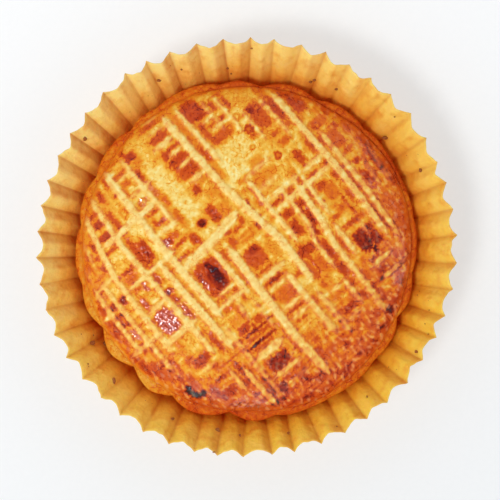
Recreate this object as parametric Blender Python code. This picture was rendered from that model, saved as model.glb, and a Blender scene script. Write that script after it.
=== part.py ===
"""A round caramel walnut pie in the fluted paper case that it was baked in.

The pie is one solid, a short-crust shell with a scored, egg-washed lid, uncut, so its filling is
left solid. The case is one pleated sheet: flat under the pie, close round its side, and flaring out
above the crust's edge. Units are metres, +Z is up, and the origin is on the table under the middle
of the case's rim.
"""

import math

import bmesh
import bpy
import numpy as np

MM = 0.001
FULL_TURN = 2.0 * math.pi

# The paper case
FLUTES = 50
FLUTE_PHASE = math.radians(3.0)
FLUTE_DEPTH = 2.4 * MM
FLUTE_CURVE = 1.6
FLUTE_GROWTH = 0.5
FOOT_RADIUS = 57.0 * MM
RIM_RADIUS = 73.7 * MM
RIM_HEIGHT = 27.5 * MM
WALL_CURVE = 1.35
PAPER = 0.5 * MM
COLUMNS_PER_FLUTE = 6
WALL_LEVELS = (0.0, 0.14, 0.40, 0.70, 1.0)

# The pie. It sits a little off the middle of the rim, towards -Y.
GAP = 0.3 * MM
SIDE_CLEARANCE = 0.7 * MM
OFF_CENTRE = 1.0 * MM
PIE_RADIUS = 62.2 * MM
PIE_TOP = 31.0 * MM
LID_EDGE = 19.9 * MM
SHELL_TOP = 19.1 * MM
SEAM = 18.85 * MM
SHELL_RIM = 17.6 * MM
SEAM_WIDTH = 0.7 * MM
FOOT_ROUNDING = 1.2 * MM

DOME_FLATNESS = 3.2
DOME_SHOULDER = 0.60

# Pinches that fingers left in the edge: (degrees round the pie, how far each way in degrees, depth in mm)
CRIMPS = (
    (11, 6, 0.5),
    (46, 5, 0.9),
    (65, 9, 2.0),
    (85, 9, 2.4),
    (99, 7, 1.2),
    (122, 7, 0.9),
    (134, 6, 1.6),
    (154, 7, 1.4),
    (171.5, 6, 1.3),
    (192, 8, 1.4),
    (208.5, 8, 2.7),
    (226, 9, 3.4),
    (243, 8, 3.0),
    (264, 9, 3.0),
    (280, 6, 1.2),
    (300, 14, 0.6),
    (319, 6, 0.7),
    (336, 7, 2.3),
    (352, 6, 0.9),
)

# Where the lid ends, so that the shell's rim shows beyond it in lobes: (degrees, radius in mm)
LID_REACH = (
    (0, 59.7),
    (30, 60.6),
    (55, 59.2),
    (130, 59.3),
    (146, 58.7),
    (170, 59.7),
    (205, 58.9),
    (245, 58.1),
    (272, 58.6),
    (300, 60.1),
    (330, 59.1),
)
NARROWEST_SHELF = 0.8 * MM

# The lid was scored with a fork, first one way and then across. Where the fork went, the pastry puffed
# up as pale bars between sunken panes of egg wash. A bar is (width, share of the full height, its
# points), in millimetres: the first number of a point is across the long bars, the second along them.
SCORE_ANGLE = math.radians(40.6)
BAR_HEIGHT = 0.8 * MM
BAR_SOFTNESS = 0.75
BAR_TAPER = 2.5
LONG_BARS = (
    (2.4, 0.9, ((-37.0, 47), (-40.6, 33), (-42.8, 22), (-43.6, 8), (-44.4, -12))),
    (1.6, 0.6, ((-44.0, 40), (-45.8, 31))),
    (1.2, 0.5, ((-49.6, 36), (-50.8, 25.5))),
    (2.2, 0.8, ((-51.6, 24), (-52.8, 12), (-53.2, -4))),
    (2.2, 0.8, ((-48.2, 23), (-48.8, -17))),
    (2.3, 0.9, ((-31.4, 50), (-33.6, 29), (-33.2, -21))),
    (1.8, 0.8, ((-33.0, -29), (-33.2, -40))),
    (2.7, 1.0, ((-27.4, 15), (-27.0, -24))),
    (2.2, 0.9, ((-28.8, -32), (-28.6, -51))),
    (2.9, 1.0, ((-21.5, 54), (-22.8, 20), (-22.8, -13))),
    (2.0, 0.6, ((-24.2, -16), (-25.0, -50))),
    (2.0, 0.8, ((-14.0, 53), (-13.8, 22))),
    (2.4, 0.8, ((-9.6, 7), (-10.2, -13))),
    (1.4, 0.5, ((-10.3, -15), (-10.6, -28))),
    (1.6, 0.6, ((-15.0, -12), (-15.8, -20))),
    (3.1, 1.0, ((-5.0, 4), (-6.0, -12), (-7.2, -36), (-6.8, -53.5))),
    (2.8, 1.0, ((7.4, 55), (7.7, 22), (11.0, -6), (10.4, -24))),
    (2.0, 0.9, ((12.6, 54), (12.9, 29))),
    (2.0, 0.9, ((15.5, 18), (15.2, -10))),
    (1.3, 0.6, ((21.4, 50), (21.4, 37))),
    (1.6, 0.7, ((26.0, 49), (25.8, 32))),
    (1.4, 0.6, ((30.4, 38), (30.2, 25))),
    (1.6, 0.6, ((38.2, 38), (38.0, 20))),
    (2.5, 1.0, ((43.0, 36), (43.0, -5), (41.4, -29))),
    (2.3, 0.8, ((46.8, 14), (46.3, -9), (44.4, -33))),
    (1.7, 0.7, ((22.6, 8), (22.2, -8), (20.0, -14), (19.2, -26))),
    (2.0, 0.8, ((18.8, -31), (18.6, -42))),
    (2.3, 0.9, ((28.0, 6), (26.6, -9), (24.4, -20), (23.8, -42), (23.0, -50))),
    (1.9, 0.8, ((31.3, 6), (30.0, -10))),
    (2.1, 0.8, ((29.0, -14), (28.2, -27))),
    (1.7, 0.6, ((36.6, -18), (36.4, -24))),
    (1.8, 0.5, ((52.2, -2), (51.0, -15))),
    (1.9, 0.5, ((57.0, 0), (55.0, -16))),
    (2.6, 0.8, ((4.8, -16), (4.6, -38), (4.8, -44))),
    (2.1, 0.7, ((9.0, -28), (9.0, -47))),
)
CROSS_BARS = (
    (1.8, 0.8, ((-41.7, 15.5), (-20.2, 15.5))),
    (2.4, 0.9, ((-39.0, 33.0), (-14.5, 33.2))),
    (3.6, 0.9, ((-22.0, 8.4), (-8.0, 9.4), (5.5, 11.6))),
    (2.0, 0.7, ((-51.5, 22.6), (-43.0, 22.8))),
    (2.0, 0.7, ((-57.0, 13.0), (-51.0, 13.0))),
    (2.2, 0.8, ((-57.5, -3.2), (-43.0, -3.2))),
    (2.2, 0.8, ((-42.0, 4.6), (-34.0, 4.6))),
    (2.4, 0.9, ((-46.0, -7.8), (-30.0, -7.8))),
    (1.6, 0.7, ((-20.0, 47.6), (-15.0, 47.6))),
    (2.0, 0.7, ((-20.0, 40.0), (-10.0, 40.0))),
    (2.0, 0.8, ((-20.0, 23.4), (-12.0, 23.4))),
    (1.4, 0.6, ((0.5, 57.6), (6.0, 57.4))),
    (1.5, 0.5, ((-1.0, 53.0), (6.0, 52.6))),
    (2.1, 0.8, ((-3.0, 47.3), (6.0, 47.4))),
    (1.7, 0.8, ((0.6, 42.2), (6.0, 42.2))),
    (1.4, 0.8, ((0.0, 37.0), (6.0, 37.0))),
    (2.1, 0.8, ((0.0, 30.4), (6.0, 30.4))),
    (1.8, 0.7, ((17.0, 43.5), (20.5, 43.5))),
    (1.5, 0.7, ((18.0, 39.6), (24.0, 39.4))),
    (1.6, 0.7, ((15.5, 18.8), (27.0, 18.8))),
    (2.0, 0.5, ((16.0, 12.2), (25.0, 12.2))),
    (2.4, 0.6, ((17.0, 7.4), (31.0, 7.4))),
    (2.3, 0.8, ((33.0, 7.4), (42.5, 7.4))),
    (2.3, 0.7, ((17.0, 3.0), (42.5, 2.9))),
    (1.6, 0.8, ((-18.8, -6.8), (-11.5, -6.8))),
    (1.9, 0.8, ((-22.0, -10.7), (-9.5, -10.7))),
    (2.6, 0.5, ((-42.0, -23.6), (-35.0, -23.6))),
    (3.2, 0.9, ((-23.0, -33.0), (-11.0, -33.0))),
    (1.9, 0.9, ((-23.0, -42.1), (-11.0, -42.1))),
    (1.6, 0.6, ((-21.0, -46.8), (-11.0, -46.8))),
    (2.4, 0.8, ((-4.0, -12.6), (7.0, -12.6))),
    (1.6, 0.6, ((-4.0, -17.2), (4.0, -17.2))),
    (1.8, 0.8, ((-4.8, -25.6), (3.0, -25.6))),
    (1.7, 0.7, ((-4.5, -30.0), (3.0, -30.0))),
    (2.3, 0.7, ((12.6, -31.6), (17.2, -31.8))),
    (1.8, 0.7, ((10.6, -43.2), (17.4, -43.2))),
    (2.0, 0.8, ((29.0, -34.4), (39.0, -34.6))),
    (1.9, 0.8, ((29.0, -40.2), (42.0, -40.2))),
)

# The lid also swells over the nuts beneath it.
SWELL_HEIGHT = 0.35 * MM
SWELL_LENGTH = 17.0 * MM

# How finely the lid is sampled before the flat stretches are thinned out
LID_SEGMENTS = 300
LID_RINGS = 64
PIE_TRIANGLES = 7400

SEEDS = {"rim_radius": 3, "rim_height": 5, "flute_depth": 7, "flute_angle": 11, "outline": 13, "swell": 17}


def smooth_step(low, high, value):
    """0 below low, 1 above high, and a smooth rise between them."""
    share = np.clip((value - low) / (high - low), 0.0, 1.0)
    return share * share * (3.0 - 2.0 * share)


def ring_noise(theta, lowest, highest, seed):
    """A smooth random wobble of a few waves round a circle, mostly between -1 and 1."""
    draw = np.random.default_rng(seed)
    total = np.zeros_like(theta)
    for waves in range(lowest, highest + 1):
        total += np.sin(waves * theta + draw.uniform(0.0, FULL_TURN))
    return total / math.sqrt(2.0 * (highest - lowest + 1))


def bump_noise(x, y, length, seed, waves=20):
    """Smooth random bumps over a plane, made of waves about this long that run every way."""
    draw = np.random.default_rng(seed)
    total = np.zeros_like(x)
    for _ in range(waves):
        heading, phase = draw.uniform(0.0, FULL_TURN, 2)
        wave = length * draw.uniform(0.7, 1.5)
        total += np.sin((x * math.cos(heading) + y * math.sin(heading)) * FULL_TURN / wave + phase)
    return total / math.sqrt(2.0 * waves)


def wall_radius(height):
    """The case's mean radius at a height."""
    return FOOT_RADIUS + (RIM_RADIUS - FOOT_RADIUS) * (height / RIM_HEIGHT) ** WALL_CURVE


def wall_slope(height):
    """How fast the wall leans out, as metres of radius for each metre of height."""
    share = height / RIM_HEIGHT
    return WALL_CURVE * (RIM_RADIUS - FOOT_RADIUS) / RIM_HEIGHT * share ** (WALL_CURVE - 1.0)


def flute_depth(height):
    return FLUTE_DEPTH * (height / RIM_HEIGHT) ** FLUTE_GROWTH


def flute_shape(turn):
    """A flute's outline from -0.4 at its round inner fold to 0.6 at its sharp outer crease."""
    share = (turn / FULL_TURN) % 1.0
    return np.abs(2.0 * share - 1.0) ** FLUTE_CURVE - 0.4


def off_centre(height):
    """The foot of the case lies under the pie, and its rim is centred on the origin."""
    return -OFF_CENTRE * (1.0 - height / RIM_HEIGHT)


def case_ring(level, inner):
    """One ring of points round the case's wall, on its outer or its inner face."""
    count = FLUTES * COLUMNS_PER_FLUTE
    turn = np.arange(count) * FULL_TURN / COLUMNS_PER_FLUTE
    theta = turn / FLUTES + FLUTE_PHASE
    wobble = level * ring_noise(theta, 2, 9, SEEDS["rim_radius"]) * 0.4 * MM
    lift = level * ring_noise(theta, 2, 7, SEEDS["rim_height"]) * 0.4 * MM
    deeper = 1.0 + 0.2 * ring_noise(theta, 6, 24, SEEDS["flute_depth"])
    theta = theta + math.radians(0.6) * ring_noise(theta, 3, 16, SEEDS["flute_angle"])
    height = level * RIM_HEIGHT
    radius = wall_radius(height) + wobble + flute_depth(height) * deeper * flute_shape(turn)
    z = np.full(count, height) + lift
    if inner:
        lean = math.atan(wall_slope(height))
        radius = radius - PAPER * math.cos(lean)
        z = z + PAPER * math.sin(lean)
        if level == 0.0:
            z = z + PAPER
    x = radius * np.cos(theta)
    y = radius * np.sin(theta) + off_centre(height)
    return np.stack([x, y, z], axis=1)


def pie_outline(theta):
    """The crust's outer radius round the pie, with the dents pressed in its edge."""
    radius = PIE_RADIUS + 0.35 * MM * ring_noise(theta, 3, 14, SEEDS["outline"])
    for degrees, reach, depth in CRIMPS:
        away = np.degrees(np.abs((theta - math.radians(degrees) + math.pi) % FULL_TURN - math.pi))
        radius = radius - depth * MM * np.clip(1.0 - away / reach, 0.0, 1.0) ** 1.6
    return radius


def lid_edge(theta):
    """The lid's outer radius, which keeps inside the pinched edge of the shell."""
    degrees, reach = zip(*LID_REACH)
    wanted = np.interp(np.degrees(theta), degrees, reach, period=360.0) * MM
    return np.minimum(wanted, pie_outline(theta) - NARROWEST_SHELF)


def bars_at(across, along):
    """How far each place is up a scored bar, from 0 in a pane to 1 on top."""
    open_share = np.ones_like(across)
    for width, share, points in LONG_BARS + CROSS_BARS:
        on_bar = np.zeros_like(across)
        whole = sum(math.dist(start, end) for start, end in zip(points, points[1:]))
        run = 0.0
        for (x0, y0), (x1, y1) in zip(points, points[1:]):
            length = math.hypot(x1 - x0, y1 - y0)
            way_x, way_y = (x1 - x0) / length, (y1 - y0) / length
            reach = np.clip((across - x0) * way_x + (along - y0) * way_y, 0.0, length)
            gap = np.hypot(across - x0 - reach * way_x, along - y0 - reach * way_y)
            from_end = np.minimum(run + reach, whole - run - reach)
            edge = 0.5 * width * (0.3 + 0.7 * smooth_step(0.0, BAR_TAPER, from_end))
            on_bar = np.maximum(on_bar, 1.0 - smooth_step(edge - BAR_SOFTNESS, edge + BAR_SOFTNESS, gap))
            run += length
        open_share = open_share * (1.0 - share * on_bar)
    return 1.0 - open_share


def lid_relief(x, y):
    """Height of the scored bars and the swells over the smooth dome."""
    across = (x * math.cos(SCORE_ANGLE) + y * math.sin(SCORE_ANGLE)) / MM
    along = (-x * math.sin(SCORE_ANGLE) + y * math.cos(SCORE_ANGLE)) / MM
    swell = bump_noise(x, y, SWELL_LENGTH, SEEDS["swell"])
    return BAR_HEIGHT * bars_at(across, along) + SWELL_HEIGHT * swell


def pie_rings():
    """Rings of points from the top of the lid, over its edge and down the side to the foot."""
    theta = np.arange(LID_SEGMENTS) * FULL_TURN / LID_SEGMENTS
    outline = pie_outline(theta)
    lid_outline = lid_edge(theta)
    shelf = outline - lid_outline
    rings = []

    def add(radius, z):
        x = radius * np.cos(theta)
        y = radius * np.sin(theta) - OFF_CENTRE
        rings.append(np.stack([x, y, np.broadcast_to(z, x.shape)], axis=1))

    for ring in range(1, LID_RINGS):
        share = ring / LID_RINGS
        dome = (1.0 - share**DOME_FLATNESS) ** DOME_SHOULDER
        radius = share * lid_outline
        x, y = radius * np.cos(theta), radius * np.sin(theta) - OFF_CENTRE
        fade = 1.0 - smooth_step(0.93, 0.99, share)
        add(radius, LID_EDGE + (PIE_TOP - LID_EDGE) * dome + fade * lid_relief(x, y))
    add(lid_outline, LID_EDGE)
    add(lid_outline - 0.5 * SEAM_WIDTH, SEAM)
    add(lid_outline + 0.3 * shelf, SHELL_TOP)
    add(outline - 0.25 * shelf, 0.5 * (SHELL_TOP + SHELL_RIM))
    add(outline, SHELL_RIM)
    for z in (15.0 * MM, 11.0 * MM, 6.0 * MM, PAPER + GAP + FOOT_ROUNDING):
        dent = (PIE_RADIUS - outline) * (z / SHELL_RIM) ** 2
        add(side_radius(z) - dent, z)
    add(np.full_like(theta, side_radius(0.0) - FOOT_ROUNDING), PAPER + GAP)
    return rings


def side_radius(z):
    """The shell's radius low down, where it keeps clear of the case's inner folds."""
    fold = wall_radius(z) - 0.4 * flute_depth(z)
    lean = math.atan(wall_slope(z))
    shift = OFF_CENTRE + off_centre(z)
    return min(fold - PAPER / math.cos(lean) - shift - SIDE_CLEARANCE, PIE_RADIUS)


def add_ring(mesh, points):
    return [mesh.verts.new(point) for point in points]


def bridge(mesh, first, second):
    """Faces between two rings of as many points, facing away from the axis when second is lower."""
    count = len(first)
    for i in range(count):
        j = (i + 1) % count
        mesh.faces.new((first[i], second[i], second[j], first[j]))


def new_object(name, mesh, material):
    bmesh.ops.recalc_face_normals(mesh, faces=mesh.faces)
    data = bpy.data.meshes.new(name)
    mesh.to_mesh(data)
    mesh.free()
    data.shade_smooth()
    data.set_sharp_from_angle(angle=math.radians(50.0))
    data.materials.append(material)
    made = bpy.data.objects.new(name, data)
    bpy.context.scene.collection.objects.link(made)
    return made


def new_material(name, colour, roughness, coat=0.0):
    material = bpy.data.materials.new(name)
    material.use_nodes = True
    shader = material.node_tree.nodes["Principled BSDF"]
    shader.inputs["Base Color"].default_value = (*colour, 1.0)
    shader.inputs["Roughness"].default_value = roughness
    shader.inputs["Metallic"].default_value = 0.0
    shader.inputs["Coat Weight"].default_value = coat
    return material


def make_paper_case(material):
    """One sheet of paper: up its outer face, over the rim and down its inner face."""
    mesh = bmesh.new()
    outer = [add_ring(mesh, case_ring(level, inner=False)) for level in WALL_LEVELS]
    inner = [add_ring(mesh, case_ring(level, inner=True)) for level in WALL_LEVELS]
    for low, high in zip(outer, outer[1:]):
        bridge(mesh, high, low)
    for low, high in zip(inner, inner[1:]):
        bridge(mesh, low, high)
    bridge(mesh, inner[-1], outer[-1])
    mesh.faces.new(outer[0])
    mesh.faces.new(inner[0])
    return new_object("paper_case", mesh, material)


def make_pie(material):
    """The crust with all that it encloses. Decimate thins the flat stretches of its fine mesh."""
    mesh = bmesh.new()
    rings = [add_ring(mesh, points) for points in pie_rings()]
    for high, low in zip(rings, rings[1:]):
        bridge(mesh, high, low)
    middle = np.zeros(1)
    top = PIE_TOP + float(lid_relief(middle, middle - OFF_CENTRE)[0])
    peak = mesh.verts.new((0.0, -OFF_CENTRE, top))
    for i in range(LID_SEGMENTS):
        mesh.faces.new((peak, rings[0][i], rings[0][(i + 1) % LID_SEGMENTS]))
    mesh.faces.new(rings[-1])
    bmesh.ops.triangulate(mesh, faces=mesh.faces)
    fine_triangles = len(mesh.faces)
    pie = new_object("pie", mesh, material)
    thin = pie.modifiers.new("thin_flat_stretches", "DECIMATE")
    thin.ratio = PIE_TRIANGLES / fine_triangles
    thin.use_collapse_triangulate = True
    return pie


def main():
    for stale in list(bpy.data.objects):
        bpy.data.objects.remove(stale)
    make_paper_case(new_material("buttery_paper", (0.78, 0.46, 0.11), 0.55))
    make_pie(new_material("baked_crust", (0.66, 0.30, 0.06), 0.45, coat=0.3))


main()
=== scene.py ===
"""Looks for a caramel walnut pie in its paper case, seen from straight above.

The pie and the case are finer meshes of the solids' own forms. Each point of them carries how far it is
baked, how much egg wash lies on it and how much butter has soaked in, and the case's points carry painted
shade for their folds too; the materials colour them by those. Metres, +Z up.
"""

import math

import bmesh
import bpy
import numpy as np
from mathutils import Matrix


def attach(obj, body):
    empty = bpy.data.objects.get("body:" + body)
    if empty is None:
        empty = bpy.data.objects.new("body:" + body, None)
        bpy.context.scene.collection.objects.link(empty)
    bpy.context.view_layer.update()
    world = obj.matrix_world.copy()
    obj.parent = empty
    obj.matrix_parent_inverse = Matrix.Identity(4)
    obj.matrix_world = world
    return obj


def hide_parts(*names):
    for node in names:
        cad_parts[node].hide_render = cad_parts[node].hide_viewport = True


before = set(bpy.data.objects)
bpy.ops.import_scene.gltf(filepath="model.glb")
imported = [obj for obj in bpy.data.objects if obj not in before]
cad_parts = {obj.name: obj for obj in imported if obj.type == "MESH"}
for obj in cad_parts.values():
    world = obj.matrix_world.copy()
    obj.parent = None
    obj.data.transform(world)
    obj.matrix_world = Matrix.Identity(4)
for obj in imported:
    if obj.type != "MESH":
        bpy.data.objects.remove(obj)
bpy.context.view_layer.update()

MM = 0.001
FULL_TURN = 2.0 * math.pi

# The camera hangs over the table and sees the rim's middle a little left of and above its own.
CAMERA_HEIGHT = 0.5
PICTURE_WIDTH = 500
FOCAL_PIXELS = 1324.0
CAMERA_X = 1.3 * MM
CAMERA_Y = -1.0 * MM

# The paper case
FLUTES = 50
FLUTE_PHASE = math.radians(3.0)
FLUTE_DEPTH = 2.4 * MM
FLUTE_CURVE = 1.6
FLUTE_GROWTH = 0.5
FOOT_RADIUS = 57.0 * MM
RIM_RADIUS = 73.7 * MM
RIM_HEIGHT = 27.5 * MM
WALL_CURVE = 1.35
BASE_PAPER = 0.5 * MM
WALL_PAPER = 0.3 * MM
COLUMNS_PER_FLUTE = 22
WALL_LEVELS = 40
WRINKLE = 0.16 * MM
# Degrees round the case to the flutes with the most painted shade on one face of each fold; those opposite
# get painted shade on the other face
SHADED_FLUTES = 130.0
# Degrees round the case to where most butter has soaked in
SOAKED_SIDE = 305.0

# The pie
GAP = 0.3 * MM
SIDE_CLEARANCE = 0.7 * MM
OFF_CENTRE = 1.0 * MM
PIE_RADIUS = 62.2 * MM
PIE_TOP = 31.0 * MM
LID_EDGE = 19.9 * MM
SHELL_TOP = 19.1 * MM
SEAM = 18.85 * MM
SHELL_RIM = 17.6 * MM
SEAM_WIDTH = 0.7 * MM
FOOT_ROUNDING = 1.2 * MM
DOME_FLATNESS = 3.2
DOME_SHOULDER = 0.60
LID_CELLS = 290
# Rings of points over the shell's rim, as shares of its width, and down its side, in millimetres up
SHELF_STEPS = (0.25, 0.35, 0.45, 0.55, 0.66, 0.78, 0.9)
SIDE_HEIGHTS = (16.2, 15.0, 13.0, 11.0, 8.0, 6.0, 4.0, 2.0)

# Pinches that fingers left in the edge: (degrees round the pie, how far each way in degrees, depth in mm)
CRIMPS = (
    (11, 6, 0.5),
    (46, 5, 0.9),
    (65, 9, 2.0),
    (85, 9, 2.4),
    (99, 7, 1.2),
    (122, 7, 0.9),
    (134, 6, 1.6),
    (154, 7, 1.4),
    (171.5, 6, 1.3),
    (192, 8, 1.4),
    (208.5, 8, 2.7),
    (226, 9, 3.4),
    (243, 8, 3.0),
    (264, 9, 3.0),
    (280, 6, 1.2),
    (300, 14, 0.6),
    (319, 6, 0.7),
    (336, 7, 2.3),
    (352, 6, 0.9),
)

# Where the lid ends, so that the shell's rim shows beyond it in lobes: (degrees, radius in mm)
LID_REACH = (
    (0, 59.7),
    (30, 60.6),
    (55, 59.2),
    (130, 59.3),
    (146, 58.7),
    (170, 59.7),
    (205, 58.9),
    (245, 58.1),
    (272, 58.6),
    (300, 60.1),
    (330, 59.1),
)
NARROWEST_SHELF = 0.8 * MM

# How baked the lobes are: (degrees, from 0 for pale to 1 for burnt)
SHELF_BAKE = (
    (0, 0.63), (30, 0.74), (58, 0.66), (90, 0.72), (110, 0.62), (145, 0.55), (180, 0.52),
    (200, 0.42), (238, 0.42), (250, 0.68), (275, 0.72), (300, 0.58), (330, 0.60),
)

# The fork's pale bars: (width, share of the full height, points), in millimetres across and along the
# long bars.
SCORE_ANGLE = math.radians(40.6)
BAR_HEIGHT = 0.8 * MM
BAR_SOFTNESS = 0.75
BAR_TAPER = 2.5
LONG_BARS = (
    (2.4, 0.9, ((-37.0, 47), (-40.6, 33), (-42.8, 22), (-43.6, 8), (-44.4, -12))),
    (1.6, 0.6, ((-44.0, 40), (-45.8, 31))),
    (1.2, 0.5, ((-49.6, 36), (-50.8, 25.5))),
    (2.2, 0.8, ((-51.6, 24), (-52.8, 12), (-53.2, -4))),
    (2.2, 0.8, ((-48.2, 23), (-48.8, -17))),
    (2.3, 0.9, ((-31.4, 50), (-33.6, 29), (-33.2, -21))),
    (1.8, 0.8, ((-33.0, -29), (-33.2, -40))),
    (2.7, 1.0, ((-27.4, 15), (-27.0, -24))),
    (2.2, 0.9, ((-28.8, -32), (-28.6, -51))),
    (2.9, 1.0, ((-21.5, 54), (-22.8, 20), (-22.8, -13))),
    (2.0, 0.6, ((-24.2, -16), (-25.0, -50))),
    (2.0, 0.8, ((-14.0, 53), (-13.8, 22))),
    (2.4, 0.8, ((-9.6, 7), (-10.2, -13))),
    (1.4, 0.5, ((-10.3, -15), (-10.6, -28))),
    (1.6, 0.6, ((-15.0, -12), (-15.8, -20))),
    (3.1, 1.0, ((-5.0, 4), (-6.0, -12), (-7.2, -36), (-6.8, -53.5))),
    (2.8, 1.0, ((7.4, 55), (7.7, 22), (11.0, -6), (10.4, -24))),
    (2.0, 0.9, ((12.6, 54), (12.9, 29))),
    (2.0, 0.9, ((15.5, 18), (15.2, -10))),
    (1.3, 0.6, ((21.4, 50), (21.4, 37))),
    (1.6, 0.7, ((26.0, 49), (25.8, 32))),
    (1.4, 0.6, ((30.4, 38), (30.2, 25))),
    (1.6, 0.6, ((38.2, 38), (38.0, 20))),
    (2.5, 1.0, ((43.0, 36), (43.0, -5), (41.4, -29))),
    (2.3, 0.8, ((46.8, 14), (46.3, -9), (44.4, -33))),
    (1.7, 0.7, ((22.6, 8), (22.2, -8), (20.0, -14), (19.2, -26))),
    (2.0, 0.8, ((18.8, -31), (18.6, -42))),
    (2.3, 0.9, ((28.0, 6), (26.6, -9), (24.4, -20), (23.8, -42), (23.0, -50))),
    (1.9, 0.8, ((31.3, 6), (30.0, -10))),
    (2.1, 0.8, ((29.0, -14), (28.2, -27))),
    (1.7, 0.6, ((36.6, -18), (36.4, -24))),
    (1.8, 0.5, ((52.2, -2), (51.0, -15))),
    (1.9, 0.5, ((57.0, 0), (55.0, -16))),
    (2.6, 0.8, ((4.8, -16), (4.6, -38), (4.8, -44))),
    (2.1, 0.7, ((9.0, -28), (9.0, -47))),
)
CROSS_BARS = (
    (1.8, 0.8, ((-41.7, 15.5), (-20.2, 15.5))),
    (2.4, 0.9, ((-39.0, 33.0), (-14.5, 33.2))),
    (3.6, 0.9, ((-22.0, 8.4), (-8.0, 9.4), (5.5, 11.6))),
    (2.0, 0.7, ((-51.5, 22.6), (-43.0, 22.8))),
    (2.0, 0.7, ((-57.0, 13.0), (-51.0, 13.0))),
    (2.2, 0.8, ((-57.5, -3.2), (-43.0, -3.2))),
    (2.2, 0.8, ((-42.0, 4.6), (-34.0, 4.6))),
    (2.4, 0.9, ((-46.0, -7.8), (-30.0, -7.8))),
    (1.6, 0.7, ((-20.0, 47.6), (-15.0, 47.6))),
    (2.0, 0.7, ((-20.0, 40.0), (-10.0, 40.0))),
    (2.0, 0.8, ((-20.0, 23.4), (-12.0, 23.4))),
    (1.4, 0.6, ((0.5, 57.6), (6.0, 57.4))),
    (1.5, 0.5, ((-1.0, 53.0), (6.0, 52.6))),
    (2.1, 0.8, ((-3.0, 47.3), (6.0, 47.4))),
    (1.7, 0.8, ((0.6, 42.2), (6.0, 42.2))),
    (1.4, 0.8, ((0.0, 37.0), (6.0, 37.0))),
    (2.1, 0.8, ((0.0, 30.4), (6.0, 30.4))),
    (1.8, 0.7, ((17.0, 43.5), (20.5, 43.5))),
    (1.5, 0.7, ((18.0, 39.6), (24.0, 39.4))),
    (1.6, 0.7, ((15.5, 18.8), (27.0, 18.8))),
    (2.0, 0.5, ((16.0, 12.2), (25.0, 12.2))),
    (2.4, 0.6, ((17.0, 7.4), (31.0, 7.4))),
    (2.3, 0.8, ((33.0, 7.4), (42.5, 7.4))),
    (2.3, 0.7, ((17.0, 3.0), (42.5, 2.9))),
    (1.6, 0.8, ((-18.8, -6.8), (-11.5, -6.8))),
    (1.9, 0.8, ((-22.0, -10.7), (-9.5, -10.7))),
    (2.6, 0.5, ((-42.0, -23.6), (-35.0, -23.6))),
    (3.2, 0.9, ((-23.0, -33.0), (-11.0, -33.0))),
    (1.9, 0.9, ((-23.0, -42.1), (-11.0, -42.1))),
    (1.6, 0.6, ((-21.0, -46.8), (-11.0, -46.8))),
    (2.4, 0.8, ((-4.0, -12.6), (7.0, -12.6))),
    (1.6, 0.6, ((-4.0, -17.2), (4.0, -17.2))),
    (1.8, 0.8, ((-4.8, -25.6), (3.0, -25.6))),
    (1.7, 0.7, ((-4.5, -30.0), (3.0, -30.0))),
    (2.3, 0.7, ((12.6, -31.6), (17.2, -31.8))),
    (1.8, 0.7, ((10.6, -43.2), (17.4, -43.2))),
    (2.0, 0.8, ((29.0, -34.4), (39.0, -34.6))),
    (1.9, 0.8, ((29.0, -40.2), (42.0, -40.2))),
)
SWELL_HEIGHT = 0.35 * MM
SWELL_LENGTH = 17.0 * MM
BLISTER_HEIGHT = 0.10 * MM
CRUMBLE_HEIGHT = 0.11 * MM
HOLE_DEPTH = 0.9 * MM

# Where the lid is browner or paler than the rest: (across, along, width, length, how baked) in
# millimetres, from 0.1 for pale dough to 1.15 for burnt.
PALE_DOUGH = (
    (-6.5, 34, 6.4, 26, 0.16), (-6, 53.6, 8.4, 9, 0.28), (-25, 30, 7, 8, 0.12), (-7, 12, 12, 8, 0.19),
    (20, 27, 13, 11, 0.2), (2, 23, 8, 5, 0.28), (-26, 42, 6, 12, 0.32), (-26, 18, 3, 12, 0.15),
    (22, 12, 12, 6, 0.32), (12, 24, 6, 12, 0.12), (33, 22, 10, 8, 0.35), (-26, 2, 3, 20, 0.15),
    (33, 43, 8, 7, 0.4), (28, 39.6, 4, 3, 0.2), (38, 2.6, 10, 3, 0.3), (-37.6, 28, 5.4, 3, 0.22),
    (-37.6, 24, 6, 3, 0.34), (-46.2, 18.5, 4.6, 7, 0.2), (-39.4, -25, 5, 5, 0.28),
    (-37, -12, 8, 5, 0.35), (-12.4, -17, 4, 7, 0.32),
)
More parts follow.
